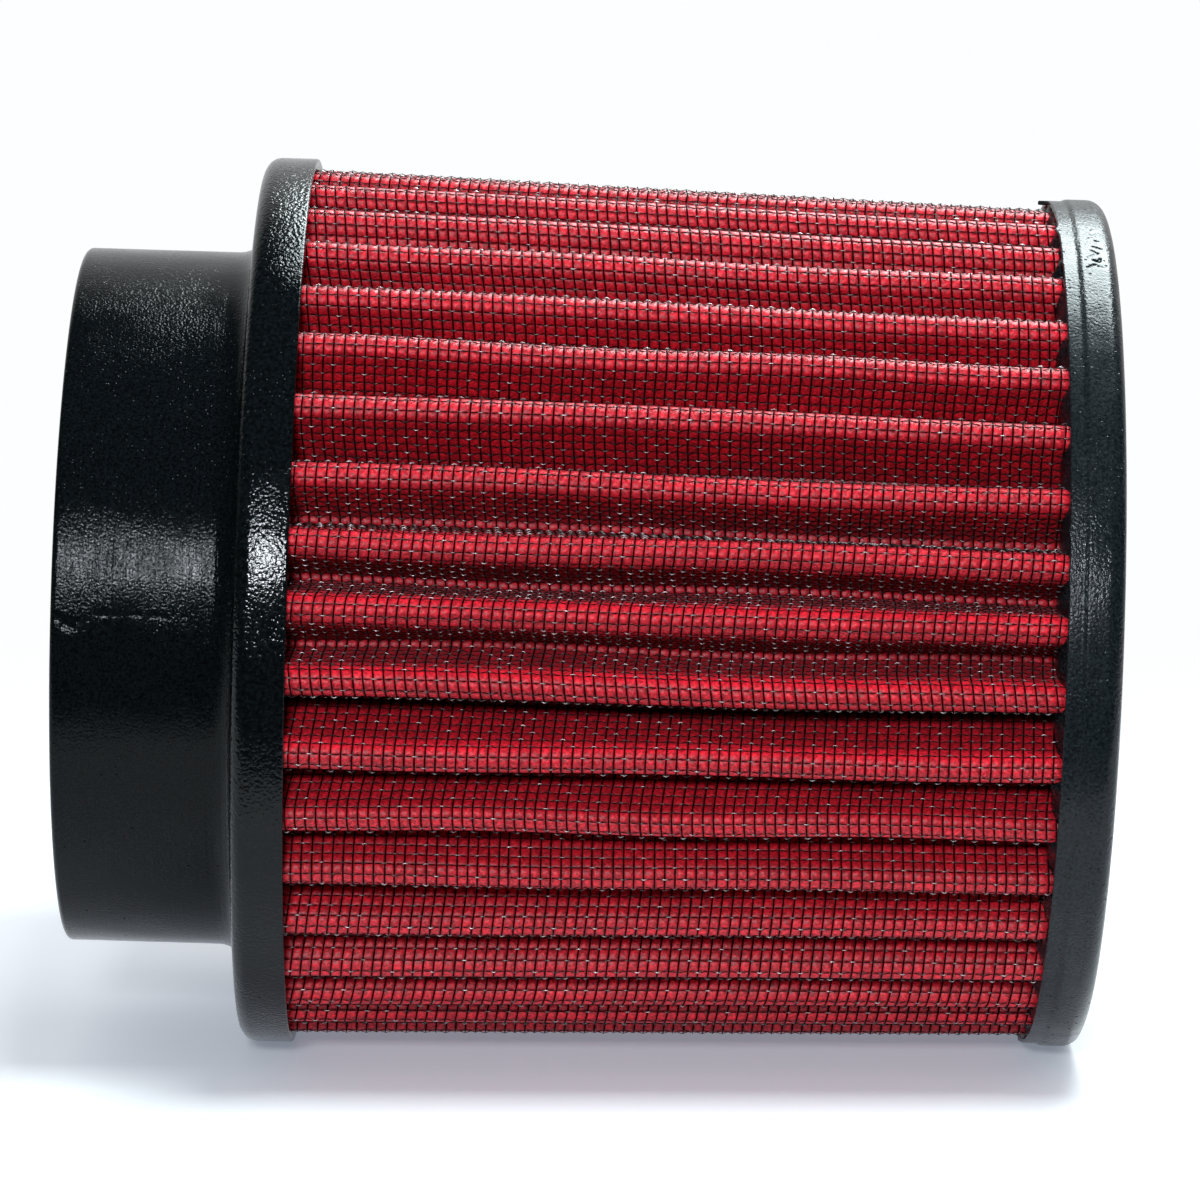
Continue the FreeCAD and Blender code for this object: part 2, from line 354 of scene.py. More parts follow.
def pale_floor(settings):
    """Opal white acrylic lit from below: a pale matt ground with a soft glow, seen from its upper side only."""
    material, tree = new_material("opal_white_acrylic")
    place = add(tree, "ShaderNodeTexCoord").outputs["Object"]
    mottle = add(tree, "ShaderNodeTexNoise", {"Vector": place, "Scale": 6.0})
    base = np.array(settings.floor_colour)
    tint = add(tree, "ShaderNodeMix", {"Factor": mottle, "A": opaque(base * 0.985), "B": opaque(base)}, COLOURS)
    panel = add(tree, "ShaderNodeBsdfPrincipled", {
        "Base Color": tint.outputs["Result"], "Roughness": 0.6, "Emission Color": opaque(linear("#DFEBFF")),
        "Emission Strength": settings.floor_glow})
    clear = add(tree, "ShaderNodeBsdfTransparent")
    below = add(tree, "ShaderNodeNewGeometry").outputs["Backfacing"]
    one_side = add(tree, "ShaderNodeMixShader", {"Fac": below, 1: panel, 2: clear})
    # The panel fades out well behind the filter, into the white ground
    reach = add(tree, "ShaderNodeSeparateXYZ", {0: place}).outputs["Y"]
    fade = add(tree, "ShaderNodeMapRange", {"Value": reach, "From Min": 0.16, "From Max": 0.42}, SMOOTH)
    faded = add(tree, "ShaderNodeMixShader", {"Fac": fade, 1: one_side, 2: clear})
    return surfaced(material, faded)


def mesh_piece(name, points, quads, materials, uv=None, finish=None, rubbed=None):
    """A smooth mesh object from arrays of points and four-cornered faces.

    uv gives each corner's place on the UV map, finish each face's place in the list of materials, and rubbed
    how far the finish is worn off at each point.
    """
    mesh = bpy.data.meshes.new(name)
    points = np.ascontiguousarray(points.reshape(-1, 3), dtype=np.float32)
    quads = np.ascontiguousarray(quads.reshape(-1, 4), dtype=np.int32)
    mesh.vertices.add(len(points))
    mesh.vertices.foreach_set("co", points.ravel())
    mesh.loops.add(quads.size)
    mesh.loops.foreach_set("vertex_index", quads.ravel())
    mesh.polygons.add(len(quads))
    mesh.polygons.foreach_set("loop_start", np.arange(0, quads.size, 4, dtype=np.int32))
    mesh.polygons.foreach_set("use_smooth", np.ones(len(quads), dtype=bool))
    if uv is not None:
        layer = mesh.uv_layers.new(name="openings")
        layer.data.foreach_set("uv", np.ascontiguousarray(uv, dtype=np.float32).ravel())
    if finish is not None:
        mesh.polygons.foreach_set("material_index", np.ascontiguousarray(finish, dtype=np.int32).ravel())
    if rubbed is not None:
        wear = mesh.attributes.new("rubbed", "FLOAT", "POINT")
        wear.data.foreach_set("value", np.ascontiguousarray(rubbed, dtype=np.float32).ravel())
    mesh.update(calc_edges=True)
    for material in materials:
        mesh.materials.append(material)
    piece = bpy.data.objects.new(name, mesh)
    bpy.context.scene.collection.objects.link(piece)
    return piece


def dress(piece, node):
    """Ties a piece to the body and hides the imported node that it stands for."""
    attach(piece, "root")
    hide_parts(node)


def grid_quads(rows, columns, close_rows, close_columns):
    """Corner numbers of a grid's faces, row by row, closed round either way if asked."""
    row = np.arange(rows if close_rows else rows - 1)[:, None]
    column = np.arange(columns if close_columns else columns - 1)[None, :]
    next_row = (row + 1) % rows
    next_column = (column + 1) % columns
    corners = [row * columns + column, row * columns + next_column,
               next_row * columns + next_column, next_row * columns + column]
    return np.stack(np.broadcast_arrays(*corners), axis=-1)


def rounded_section(corners, steps=8):
    """Points of a section from (radius, z, rounding) corners, each rounding drawn as an arc."""
    places = [complex(r, z) for r, z, rounding in corners]
    points = []
    for i, here in enumerate(places):
        rounding = corners[i][2]
        if not rounding:
            points.append(here)
            continue
        before, after = places[i - 1] - here, places[(i + 1) % len(places)] - here
        before, after = before / abs(before), after / abs(after)
        half = abs(np.angle(after / before)) / 2
        centre = here + (before + after) / abs(before + after) * rounding / math.sin(half)
        start = here + before * rounding / math.tan(half) - centre
        end = here + after * rounding / math.tan(half) - centre
        turn = np.angle(end / start)
        points += [centre + start * np.exp(1j * turn * s) for s in np.linspace(0, 1, steps + 1)]
    return np.array(points)


def turn_angles(count, gap, fine):
    """Even angles round the axis, with finer ones in a gap between them; all are given in degrees."""
    even = np.linspace(-180.0, 180.0, count, endpoint=False)
    kept = even[(even < gap[0]) | (even > gap[1])]
    return np.radians(np.sort(np.concatenate([kept, np.arange(*fine)])))


def turned_piece(name, section, materials, angles, uneven, finish=0):
    """A closed section turned round the axis; uneven gives each point's own move in radius and height.

    finish gives the place in the list of materials of the faces that start at each point of the section.
    """
    angle, radius, height = np.broadcast_arrays(angles[:, None], section.real[None, :], section.imag[None, :])
    out, up = uneven(angle, radius, height)
    radius, height = radius + out, height + up
    points = np.stack([radius * np.cos(angle), radius * np.sin(angle), height], axis=-1)
    quads = grid_quads(len(angles), len(section), True, True)
    return mesh_piece(name, points, quads, materials, finish=np.broadcast_to(finish, angle.shape))


def ripple(angle, rng, lowest, highest, count):
    """A smooth closed ripple round the axis, from waves of random phase, about 1 high."""
    total = np.zeros_like(angle)
    for waves in rng.integers(lowest, highest, count):
        total = total + np.sin(waves * angle + rng.uniform(0, 2 * math.pi))
    return total / math.sqrt(count)


def mound(angle, height, radius, at_angle, at_height, wide, long):
    """A round mound on the skin, 1 high, with its half width round the axis and its half length along it."""
    turn = (angle - at_angle + math.pi) % (2 * math.pi) - math.pi
    return np.exp(-(turn * radius / wide) ** 2 - ((height - at_height) / long) ** 2)


class Pleats:
    """The folded sheet's shape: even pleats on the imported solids, with the small strays of a hand-set pack."""

    def __init__(self, settings):
        self.count = settings.count
        self.pitch = 2 * math.pi / self.count
        self.sheet = settings.sheet
        self.crest_fold, self.valley_fold = settings.crest_fold, settings.valley_fold
        self.depth = settings.depth
        # Places across one pleat, in half pleats from its crest: close together on the crest's fold
        half = np.array([0.0, 0.05, 0.10, 0.155, 0.21, 0.265, 0.5, 0.75, 0.89, 0.945])
        pleat = np.concatenate([half, [1.0], 2 - half[:0:-1]])
        self.places = (2.0 * np.arange(self.count)[:, None] + pleat[None, :]).ravel()
        rng = np.random.default_rng(SEEDS["pleats"])
        stray = settings.unevenness
        # Crests and valleys stray round the axis by shares of the pitch, and in radius by parts of a millimetre
        crest_stray = rng.normal(0, 0.045, self.count).clip(-0.09, 0.09)
        valley_stray = rng.normal(0, 0.04, self.count)
        self.crest_angle = np.arange(self.count) * self.pitch + crest_stray * self.pitch * stray
        self.valley_angle = (np.arange(self.count) + 0.5) * self.pitch + valley_stray * self.pitch * stray
        self.crest_dip = np.abs(rng.normal(0, 0.25 * MM, self.count)).clip(0, 0.6 * MM) * stray
        self.valley_rise = rng.normal(0, 0.4 * MM, self.count).clip(-0.6 * MM, 0.8 * MM) * stray
        self.wave_size = rng.uniform(0.2, 1.0, (2, self.count)) * stray
        self.wave_phase = rng.uniform(0, 2 * math.pi, (2, self.count))
        self.wave_length = rng.uniform(60 * MM, 150 * MM, (2, self.count))

    def wave(self, which, z):
        """Slow wander along each pleat, about 1 high: of its crest (0) or its valley (1)."""
        turn = 2 * math.pi * z[:, None] / self.wave_length[which][None, :] + self.wave_phase[which][None, :]
        return np.sin(turn) * self.wave_size[which][None, :]

    def slip(self, t):
        """How far folding has sheared the screen along the axis at each place."""
        return 0.45 * MM * ripple(t * math.pi / self.count, np.random.default_rng(SEEDS["slip"]), 15, 60, 9)

    def outer_radius(self, z):
        """Radius over the screen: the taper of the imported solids."""
        growth = PACK_HIGH.x - PACK_SMALL_RADIUS
        return PACK_SMALL_RADIUS + growth * (z - PACK_LOW.z) / (PACK_HIGH.z - PACK_LOW.z)

    def surface(self, z, t, offset):
        """Points and normals at heights z and places t, where t counts half pleats round from a crest.

        The offset is measured from the middle of the sheet, outwards.
        """
        half = np.floor(t).astype(int)
        along = t - half
        valley = (half // 2) % self.count
        falling = half % 2 == 0
        crest = np.where(falling, valley, (valley + 1) % self.count)
        side = np.where(falling, 1.0, -1.0)[None, :]
        along = np.where(falling, along, 1 - along)[None, :]
        crest_wander, valley_wander = 0.03 * self.pitch, 0.05 * self.pitch
        crest_way = np.exp(1j * (self.crest_angle[None, :] + crest_wander * self.wave(0, z)))[:, crest]
        valley_way = np.exp(1j * (self.valley_angle[None, :] + valley_wander * self.wave(1, z)))[:, valley]
        outer = self.outer_radius(z)[:, None]
        crest_r = outer - SCREEN_ROOM - self.sheet / 2 - self.crest_fold - self.crest_dip[crest][None, :]
        valley_r = (outer - self.depth + SCREEN_ROOM + self.sheet / 2 + self.valley_fold
                    + self.valley_rise[valley][None, :])
        top, bottom = crest_r * crest_way, valley_r * valley_way
        run = bottom - top
        span = np.abs(run)
        folds = self.crest_fold + self.valley_fold
        flank = run / span * np.exp(-1j * side * np.arccos(folds / span))
        crest_turn = np.angle(flank / crest_way)
        valley_turn = np.angle(valley_way / flank)
        crest_arc = (self.crest_fold + offset) * np.abs(crest_turn)
        valley_arc = (self.valley_fold - offset) * np.abs(valley_turn)
        line = np.sqrt(span ** 2 - folds ** 2)
        walk = along * (crest_arc + line + valley_arc)
        on_crest = walk < crest_arc
        on_valley = walk > crest_arc + line
        normal = np.where(on_crest, crest_way * np.exp(1j * crest_turn * walk / np.maximum(crest_arc, 1e-9)), flank)
        valley_share = (walk - crest_arc - line) / np.maximum(valley_arc, 1e-9)
        normal = np.where(on_valley, flank * np.exp(1j * valley_turn * valley_share), normal)
        start, end = top + self.crest_fold * flank, bottom - self.valley_fold * flank
        middle = start + (end - start) * np.clip((walk - crest_arc) / line, 0, 1)
        middle = np.where(on_crest, top + self.crest_fold * normal, middle)
        middle = np.where(on_valley, bottom - self.valley_fold * normal, middle)
        return middle + offset * normal, normal


def raised(plane, z):
    """Points in space from complex places in the plane and their heights."""
    return np.stack(np.broadcast_arrays(plane.real, plane.imag, z), axis=-1)


def wires(node, names, centres, out, size, closed, material, rubbed=0.0, foot=0.5):
    """Wires along rows of centre points, drawn as their outward half and shared out among the named pieces.

    Closed rows are hoops, and open ones upright strands. foot says how far the drawn sides reach below the
    centre, in half sizes of the wire.
    """
    half = size / 2
    across = np.array([0.0, 0.0, 1.0]) if closed else np.stack([-out[..., 1], out[..., 0], out[..., 2]], axis=-1)
    low = out * foot * half
    points = np.stack([centres - across * half - low, centres + out * half, centres + across * half - low], axis=2)
    length = centres.shape[1]
    worn = np.broadcast_to(np.broadcast_to(rubbed, centres.shape[:2])[:, :, None], points.shape[:3])
    wire_quads = grid_quads(length, 3, closed, False).reshape(1, -1, 4)
    for name, rows in zip(names, np.array_split(np.arange(len(centres)), len(names))):
        quads = wire_quads + (np.arange(len(rows)) * length * 3)[:, None, None]
        dress(mesh_piece(name, points[rows], quads, [material], rubbed=worn[rows]), node)


class AIRFILTER_OT_inlet_flange(bpy.types.Operator):
    """Adds the cast inlet neck, its shoulder and the ring round the pleats"""
    bl_idname = "airfilter.inlet_flange"
    bl_label = "Inlet flange"

    def execute(self, context):
        s = context.scene.airfilter_moulding
        ring, face, mouth = FLANGE_HIGH.x, FLANGE_LOW.z, FLANGE_HIGH.z
        shoulder = mouth - s.neck_length
        # The neck's wall has a point every 0.3 mm, for the nick and the pits
        wall = np.linspace(mouth - 1.3 * MM, shoulder + s.neck_fillet + 0.4 * MM, 76)
        section = rounded_section([
            (s.bore_radius, mouth, 0.5 * MM),
            (s.neck_radius, mouth, 0.9 * MM),
            *[(s.neck_radius, z, 0) for z in wall],
            (s.neck_radius, shoulder, s.neck_fillet),
            (ring, shoulder, s.corner_radius),
            (ring, face, 0.35 * MM),
            (ring - 0.9 * MM, face, 0),
            (ring - 2.0 * MM, face + 0.5 * MM, 0),
            (ring - 9.0 * MM, face + 0.2 * MM, 0),
            (s.bore_radius + 3.0 * MM, face + 0.2 * MM, 0),
            (s.bore_radius, face + 4.5 * MM, 0.5 * MM),
        ])
        # The mould's parting line and a torn nick face the camera, so the mesh is finer there
        parting = math.radians(-91.7)
        angles = turn_angles(288, (-97.5, -85.6), (-97.0, -86.0, 0.15))
        rng = np.random.default_rng(SEEDS["flange"])
        # Dents: the angle, and in mm the distance from the mouth, half width, half length and depth
        nick = [(-92.5, 1.2, 0.6, 0.8, 0.2), (-93.3, 2.4, 0.8, 0.9, 0.28),
                (-93.9, 3.6, 0.5, 0.7, 0.2), (-92.9, 4.3, 0.4, 0.7, 0.12)]
        dents = [(math.radians(turn), *(size * MM for size in sizes)) for turn, *sizes in nick]
        # Pits along the parting line, and strewn near the mouth
        dents += [(parting + rng.normal(0, 0.002), rng.uniform(5.5, 21.0) * MM, rng.uniform(0.2, 0.4) * MM,
                   rng.uniform(0.25, 0.6) * MM, rng.uniform(0.04, 0.1) * MM) for i in range(16)]
        dents += [(math.radians(rng.uniform(-96, -87)), rng.uniform(0.7, 9.0) * MM, rng.uniform(0.2, 0.35) * MM,
                   rng.uniform(0.2, 0.4) * MM, rng.uniform(0.03, 0.09) * MM) for i in range(14)]

        def uneven(angle, radius, height):
            outside = np.clip((radius - s.bore_radius - 1 * MM) / (2 * MM), 0, 1)
            out = 0.05 * MM * ripple(angle, rng, 2, 9, 5)
            for turn, down, wide, long, depth in dents:
                out = out - depth * mound(angle, height, radius, turn, mouth - down, wide, long)
            return out * outside, np.zeros_like(angle)

        colours = s.flange_colour, s.dust_and_glint_colour
        ring_cast = dict(grain_size=0.55 * MM, grain_depth=0.15 * MM, wave_depth=0.08 * MM, mark_depth=0.015 * MM,
                         pit_share=0.03, dust_and_glint_share=0.35)
        # The photo hides the shoulder's flat face: it is taken as matt, as from a blasted part of the mould
        skins = [
            cast_polyurethane("cast_polyurethane_neck", *colours, grain_size=0.4 * MM, grain_depth=0.085 * MM,
                              wave_depth=0.08 * MM, mark_depth=0.1 * MM, roughness=(0.07, 0.14), shine=0.1,
                              pit_share=0.03, dust_and_glint_share=0.5),
            cast_polyurethane("cast_polyurethane_ring", *colours, roughness=(0.07, 0.13), shine=0.175, **ring_cast),
            cast_polyurethane("cast_polyurethane_shoulder", *colours, roughness=(0.72, 0.82), shine=0.1, **ring_cast),
        ]
        on_ring = (section.imag < shoulder + 1.2 * MM) & (section.real > s.neck_radius)
        flat = (abs(section.imag - shoulder) < 0.01 * MM) & (section.real < ring - 2 * s.corner_radius)
        piece = turned_piece("inlet_flange_cast", section, skins, angles, uneven, on_ring.astype(int) + flat)
        dress(piece, "inlet_flange")
        return {"FINISHED"}


class AIRFILTER_OT_end_cap(bpy.types.Operator):
    """Adds the cast end cap with its lip and the potting that grips the pleats"""
    bl_idname = "airfilter.end_cap"
    bl_label = "End cap"

    def execute(self, context):
        s = context.scene.airfilter_moulding
        rim, face = CAP_HIGH.x, CAP_HIGH.z
        dish, lip_step, inside_depth = 1.2 * MM, 0.3 * MM, 4.5 * MM
        # The potting swells between the pleats: how far in from the rim and above the face, in mm
        potting_rise = ((1.1, -0.6), (2.0, -0.2), (4.0, 0.6), (6.0, 0.9),
                        (8.0, 0.9), (10.5, 0.8), (13.0, 0.6), (16.0, 0.0))
        section = rounded_section([
            *[(r * MM, dish, 0) for r in (0.01, 0.1, 0.4, 8.0, 24.0, 40.0, 48.0)],
            (49.4 * MM, dish, 0.8 * MM),
            (50.5 * MM, 0, 0.6 * MM),
            (rim, 0, s.corner_radius),
            *[(rim, z, 0) for z in np.linspace(2.6 * MM, face - 3.4 * MM, 18)],
            (rim, face - 3.0 * MM, 1.5 * MM),
            (rim - lip_step, face - 2.2 * MM, 1.5 * MM),
            (rim - lip_step, face, 0.25 * MM),
            (rim - 0.95 * MM, face, 0.2 * MM),
            *[(rim - inwards * MM, face + above * MM, 0) for inwards, above in potting_rise],
            (rim - 17.5 * MM, face - inside_depth, 0),
            *[(r * MM, face - inside_depth, 0) for r in (44.0, 20.0, 0.4, 0.1, 0.01)],
        ])
        rng = np.random.default_rng(SEEDS["cap"])
        # Flash stands up from the lip in a few places, most of all at the top: angle, half width, height
        flash = [(-4.0, 0.8, 1.6)]
        flash += [(rng.uniform(-180, 180), rng.uniform(0.5, 1.4), rng.uniform(0.1, 0.4)) for i in range(14)]
        # Scratches in the band, each from one angle and height in mm to another, with its depth in mm
        scratches = [
            ((-25.4, 5.1), (-25.4, 3.2), 0.06), ((-27.3, 3.6), (-27.5, 2.8), 0.06), ((-29, 3.9), (-29.8, 2.4), 0.14),
            ((-30.1, 4.3), (-31.0, 3.2), 0.1), ((-31.0, 3.2), (-32.2, 4.8), 0.12), ((-32.7, 4.0), (-33.1, 3.1), 0.15),
            ((-33.1, 3.1), (-32.3, 2.9), 0.12), ((-34.6, 5), (-33.8, 3.9), 0.15), ((-33.8, 3.9), (-34.6, 2.6), 0.06)]
        scratch_wide, scratch_long = 0.2 * MM, 0.22 * MM

        def uneven(angle, radius, height):
            outside = np.clip((radius - rim + 3 * MM) / (2 * MM), 0, 1)
            out = 0.06 * MM * ripple(angle, rng, 2, 9, 5) + 0.03 * MM * ripple(angle, rng, 12, 30, 5)
            for start, end, depth in scratches:
                for turn, up in np.linspace(start, end, 7):
                    out = out - depth * MM * mound(
                        angle, height, radius, math.radians(turn), up * MM, scratch_wide, scratch_long)
            rise = np.zeros_like(angle)
            for turn, wide, tall in flash:
                rise = rise + tall * MM * mound(angle, 0.0, radius, math.radians(turn), 0.0, wide * MM, 1.0)
            lip = (height > face - 0.4 * MM) & (radius > rim - 1.0 * MM)
            potting = (height > face - 0.8 * MM) & (radius < rim - 1 * MM)
            up = np.where(potting, 0.4 * MM * ripple(angle, rng, 25, 90, 9), 0.0) + np.where(lip, rise, 0.0)
            return out * outside, up

        skin = cast_polyurethane(
            "cast_polyurethane_cap", s.cap_colour, s.dust_and_glint_colour, grain_size=0.45 * MM, grain_depth=0.12 * MM,
            wave_depth=0.2 * MM, mark_depth=0.015 * MM, roughness=(0.1, 0.36), shine=0.2,
            pit_share=0.3, dust_and_glint_share=0.15)
        # The mesh is finer where the scratches are
        angles = turn_angles(360, (-36, -24.3), (-35.6, -24.5, 0.12))
        dress(turned_piece("end_cap_cast", section, [skin], angles, uneven), "end_cap")
        return {"FINISHED"}


class AIRFILTER_OT_filter_media(bpy.types.Operator):
    """Adds the folded sheet of oiled gauze"""
    bl_idname = "airfilter.filter_media"
    bl_label = "Filter media"

    def execute(self, context):
        s = context.scene.airfilter_pleats
        screen = context.scene.airfilter_screen
        pleats = Pleats(s)
        low, high = (corner.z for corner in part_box("filter_media"))
        z = np.linspace(low, high, 20)
        outside = pleats.surface(z, pleats.places, s.sheet / 2)[0]
        inside = pleats.surface(z[::-1], pleats.places, -s.sheet / 2)[0]
        points = np.concatenate([raised(outside, z[:, None]), raised(inside, z[::-1, None])])
        quads = grid_quads(len(points), len(pleats.places), True, True)
        # The UV map counts the screen's openings, so that its whole numbers lie under the wires
        across = np.append(pleats.places, 2 * s.count) * screen.strands / 2 - 0.5
        up = np.concatenate([z, z[::-1], z[:1]]) / screen.hoop_pitch
        corner_u = np.stack([across[:-1], across[1:], across[1:], across[:-1]], axis=-1)
        corner_v = np.stack([up[:-1], up[:-1], up[1:], up[1:]], axis=-1)
        slip = np.append(pleats.slip(pleats.places), pleats.slip(pleats.places[:1])) / screen.hoop_pitch
        corner_slip = np.stack([slip[:-1], slip[1:], slip[1:], slip[:-1]], axis=-1)
        corner_v = corner_v[:, None, :] - corner_slip[None, :, :]
        uv = np.stack(np.broadcast_arrays(corner_u[None, :, :], corner_v), axis=-1)
        piece = mesh_piece("filter_media_gauze", points, quads, [oiled_gauze(s)], uv)
        dress(piece, "filter_media")
        return {"FINISHED"}


class AIRFILTER_OT_outer_screen(bpy.types.Operator):
    """Weaves the outer wire screen over the pleats"""
    bl_idname = "airfilter.outer_screen"
    bl_label = "Outer screen"

    def execute(self, context):
        s = context.scene.airfilter_screen
        sheet = context.scene.airfilter_pleats
        pleats = Pleats(sheet)
        first = math.ceil((CAP_HIGH.z - 1 * MM) / s.hoop_pitch)
        last = math.floor((FLANGE_LOW.z + 1 * MM) / s.hoop_pitch)
        levels = np.arange(first, last + 1) * s.hoop_pitch
        rest = sheet.sheet / 2 + 0.2 * MM
        rng = np.random.default_rng(SEEDS["hoops"])
        # Hoops follow the folds and wander a little from level
        plane, normal = pleats.surface(levels, pleats.places, rest)
        turn = pleats.places[None, :] * math.pi / sheet.count
        each = (len(levels), 1)
        wander = sum(rng.normal(0, 0.022 * MM, each) * np.sin(waves * turn + rng.uniform(0, 6, each))
                     for waves in rng.integers(3, 40, 10))
        centres = raised(plane, levels[:, None] + wander + pleats.slip(pleats.places)[None, :])
        wires("outer_screen", ["outer_screen_hoops_a", "outer_screen_hoops_b"], centres, raised(normal, 0.0),
              s.hoop_size, True, coated_wire(s), foot=1.4)
        # Strands rise over every other hoop and press into the gauze under the hoops between
        rubbed = rubbed_wire(s)
        over, dip = (s.hoop_size + s.strand_size) / 2 - 0.02 * MM, -0.3 * MM
        slope = 0.32 * s.hoop_pitch
        for parity, letters in ((0, "ab"), (1, "cd")):
            stations = [(PACK_LOW.z, 0.0)]
            for j, level in enumerate(levels):
                if (j + parity) % 2:
                    stations.append((level, dip))
                else:
                    stations += [(level - slope, 0.0), (level, over), (level + slope, 0.0)]
            stations.append((PACK_HIGH.z, 0.0))
            heights, lift = np.array(stations).T
            places = (np.arange(parity, s.strands * sheet.count, 2) + 0.5) * 2 / s.strands
            plane, normal = pleats.surface(heights, places, rest)
            centres = raised((plane + lift[:, None] * normal).T, heights[None, :] + pleats.slip(places)[:, None])
            # The drawn half of a strand leans out of its pleat, to the side from which it shows
            lean = normal + 0.9 * plane / np.abs(plane)
            out = raised((lean / np.abs(lean)).T, 0.0)
            worn = np.select([lift > 0, lift < 0], [1.0, 0.0], 0.4)[None, :]
            wires("outer_screen", [f"outer_screen_strands_{letter}" for letter in letters], centres, out,
                  s.strand_size, False, rubbed, worn)
        return {"FINISHED"}


class AIRFILTER_OT_inner_screen(bpy.types.Operator):
    """Lays the inner wire screen on the inside of the pleats"""
    bl_idname = "airfilter.inner_screen"
    bl_label = "Inner screen"

    def execute(self, context):
        s = context.scene.airfilter_screen
        sheet = context.scene.airfilter_pleats
        pleats = Pleats(sheet)
        black = coated_wire(s)
        gap = 0.15 * MM
        rest = -(sheet.sheet / 2 + gap)
        # The inside shows only through the neck, so its hoops are drawn at every second place
        levels = np.arange(CAP_HIGH.z, FLANGE_LOW.z + 4 * MM, 2 * s.hoop_pitch)
        plane, normal = pleats.surface(levels, pleats.places[::2], rest)
        wires("inner_screen", ["inner_screen_hoops"], raised(plane, levels[:, None]), raised(-normal, 0.0),
              s.hoop_size, True, black)
        heights = np.linspace(PACK_LOW.z, PACK_HIGH.z, 8)
        places = (np.arange(s.strands * sheet.count) + 0.5) * 2 / s.strands
        plane, normal = pleats.surface(heights, places, rest - gap)
        wires("inner_screen", ["inner_screen_strands"], raised(plane.T, heights[None, :]), raised(-normal.T, 0.0),
              s.strand_size, False, black)
        return {"FINISHED"}


def camera_axes(s):
    """Right, up and back of the camera: the picture's up is +X and its left is +Z, the neck's end."""
    right = Vector((math.sin(s.roll), 0, -math.cos(s.roll)))
    up = Vector((math.cos(s.roll), 0, math.sin(s.roll)))
    swing = Matrix.Rotation(s.swing, 3, up)
    right, back = swing @ right, swing @ Vector((0, -1, 0))
    lift = Matrix.Rotation(-s.lift, 3, right)
    return right, lift @ up, lift @ back


def placed(place, *axes):
    """Matrix that sets an object at a place, with its own axes along three directions."""
    return Matrix.Translation(place) @ Matrix(axes).transposed().to_4x4()


def area_light(name, place, aim, wide, size, power, colour, mirrored):
    """A soft box that faces a point, its first side along a direction; it is only mirrored, or it only lights."""
    data = bpy.data.lights.new(name, "AREA")
    data.shape = "RECTANGLE"
    data.size, data.size_y = size
    data.energy = power
    data.color = colour
    light = bpy.data.objects.new(name, data)
    back = (place - aim).normalized()
    side = (wide - back * wide.dot(back)).normalized()
    light.matrix_world = placed(place, side, back.cross(side), back)
    light.visible_diffuse, light.visible_glossy = not mirrored, mirrored
    bpy.context.scene.collection.objects.link(light)


def white_studio(settings):
    """White ground for the camera, a ceiling (+X) that lights matt surfaces and a wall (+Y) that shiny ones mirror."""
    world = bpy.data.worlds.new("white_studio")
    world.use_nodes = True
    tree = world.node_tree
    tree.nodes.clear()
    way = add(tree, "ShaderNodeTexCoord").outputs["Generated"]
    towards = add(tree, "ShaderNodeSeparateXYZ", {0: way}).outputs
    ceiling = add(tree, "ShaderNodeMapRange", {
        "Value": towards["X"], "From Min": 0.05, "From Max": 0.8,
        "To Min": 0.02, "To Max": settings.room_light}, SMOOTH)
    wall = add(tree, "ShaderNodeMapRange", {
        "Value": towards["Y"], "From Min": 0.25, "From Max": 0.7, "To Min": 0.02, "To Max": 0.8}, SMOOTH)
    ray = add(tree, "ShaderNodeLightPath").outputs
    fill = add(tree, "ShaderNodeMix", {"Factor": ray["Is Diffuse Ray"], "A": wall, "B": ceiling})
    strength = add(tree, "ShaderNodeMix", {"Factor": ray["Is Camera Ray"], "A": fill, "B": 1.0})
    light = add(tree, "ShaderNodeBackground", {"Color": opaque(linear("#FDFEFF")), "Strength": strength})
    add(tree, "ShaderNodeOutputWorld", {"Surface": light})
    return world


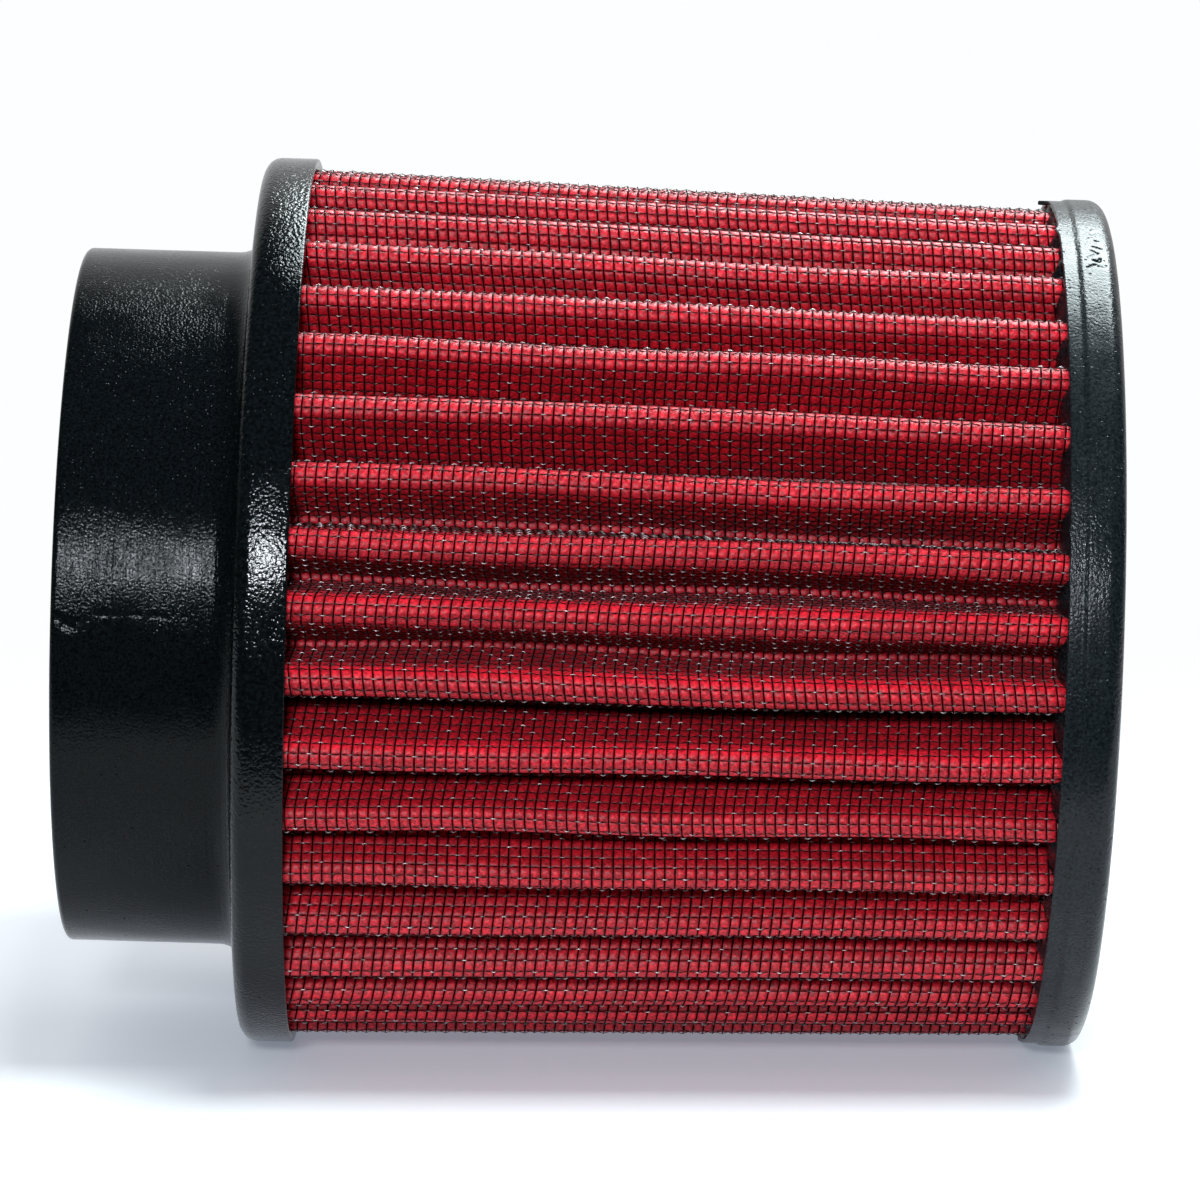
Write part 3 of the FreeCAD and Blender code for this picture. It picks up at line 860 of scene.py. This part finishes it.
class AIRFILTER_OT_stage(bpy.types.Operator):
    """Adds the pale floor, the soft lights and the camera"""
    bl_idname = "airfilter.stage"
    bl_label = "Stage"

    def execute(self, context):
        s = context.scene.airfilter_stage
        right, up, back = camera_axes(s)
        picture_middle = Vector((1.42 * MM, 0, 78.9 * MM))
        data = bpy.data.cameras.new("photo_camera")
        data.lens = s.lens
        data.sensor_width = 36.0
        data.clip_start, data.clip_end = 0.05, 20
        camera = bpy.data.objects.new("photo_camera", data)
        camera.matrix_world = placed(picture_middle + s.distance * back, right, up, back)
        context.scene.collection.objects.link(camera)
        context.scene.camera = camera
        # The floor touches the ring and the cap
        ring, cap = FLANGE_HIGH.x, CAP_HIGH.x
        ring_z, cap_z = FLANGE_LOW.z + 3 * MM, CAP_HIGH.z / 2
        lean = s.floor_slope - s.lift
        floor_up = Vector((math.cos(lean), -math.sin(lean), (ring - cap) / (ring_z - cap_z))).normalized()
        along = (Vector((0, 0, -1)) + floor_up * floor_up.z).normalized()
        away = floor_up.cross(along)
        middle = Vector((0, 0, 80 * MM))
        drop = floor_up.z * (ring_z - middle.z) - math.hypot(floor_up.x, floor_up.y) * ring
        wide, near, far = 1.2, -0.14, 0.5
        corners = np.array([(-wide, near, 0), (wide, near, 0), (wide, far, 0), (-wide, far, 0)])
        floor = mesh_piece("floor", corners, np.array([[0, 1, 2, 3]]), [pale_floor(s)])
        floor.matrix_world = placed(middle + floor_up * drop, along, away, floor_up)
        # A lamp overhead casts the shadow and a box behind it gives highlights only. In front are one of each, the
        # second a little nearer, because two at the same place would halve each other's highlights.
        cool, pale = linear("#F0FDFF"), linear("#F2F9FF")
        overhead = middle + floor_up * 0.75
        front, front_size = middle + back * 1.2 + up * 0.2 - right * 0.12, (0.2, 0.14)
        area_light("key_lamp", overhead + along * 0.12 - away * 0.33, middle, along, (0.26, 0.26), 5.5, cool, False)
        area_light("top_box", overhead + along * 0.23 + away * 0.42, middle, along, (0.5, 0.62), 21.5, cool, True)
        area_light("front_fill", front, middle, right, front_size, 7.2, pale, False)
        area_light("front_gleam", front - back * 0.05, middle, right, front_size, 9.6, pale, True)
        context.scene.world = white_studio(s)
        context.scene.view_settings.view_transform = "Standard"
        context.scene.view_settings.look = "None"
        return {"FINISHED"}


OPERATORS = (
    AIRFILTER_OT_inlet_flange,
    AIRFILTER_OT_end_cap,
    AIRFILTER_OT_filter_media,
    AIRFILTER_OT_outer_screen,
    AIRFILTER_OT_inner_screen,
    AIRFILTER_OT_stage,
)
SETTINGS = {
    "airfilter_moulding": MouldingSettings,
    "airfilter_pleats": PleatSettings,
    "airfilter_screen": ScreenSettings,
    "airfilter_stage": StageSettings,
}


class AIRFILTER_PT_pieces(bpy.types.Panel):
    """Lists the filter's pieces and their settings"""
    bl_idname = "AIRFILTER_PT_pieces"
    bl_label = "Air filter"
    bl_space_type = "VIEW_3D"
    bl_region_type = "UI"
    bl_category = "Air filter"

    def draw(self, context):
        for operator in OPERATORS:
            self.layout.operator(operator.bl_idname)
        for name, kind in SETTINGS.items():
            box = self.layout.box()
            for key in kind.__annotations__:
                box.prop(getattr(context.scene, name), key)


CLASSES = (*SETTINGS.values(), *OPERATORS, AIRFILTER_PT_pieces)


def register():
    for kind in CLASSES:
        bpy.utils.register_class(kind)
    for name, kind in SETTINGS.items():
        setattr(bpy.types.Scene, name, PointerProperty(type=kind))


def unregister():
    for name in SETTINGS:
        delattr(bpy.types.Scene, name)
    for kind in reversed(CLASSES):
        bpy.utils.unregister_class(kind)


def main():
    register()
    bpy.ops.airfilter.inlet_flange()
    bpy.ops.airfilter.end_cap()
    bpy.ops.airfilter.filter_media()
    bpy.ops.airfilter.outer_screen()
    bpy.ops.airfilter.inner_screen()
    bpy.ops.airfilter.stage()


if __name__ == "__main__":
    main()
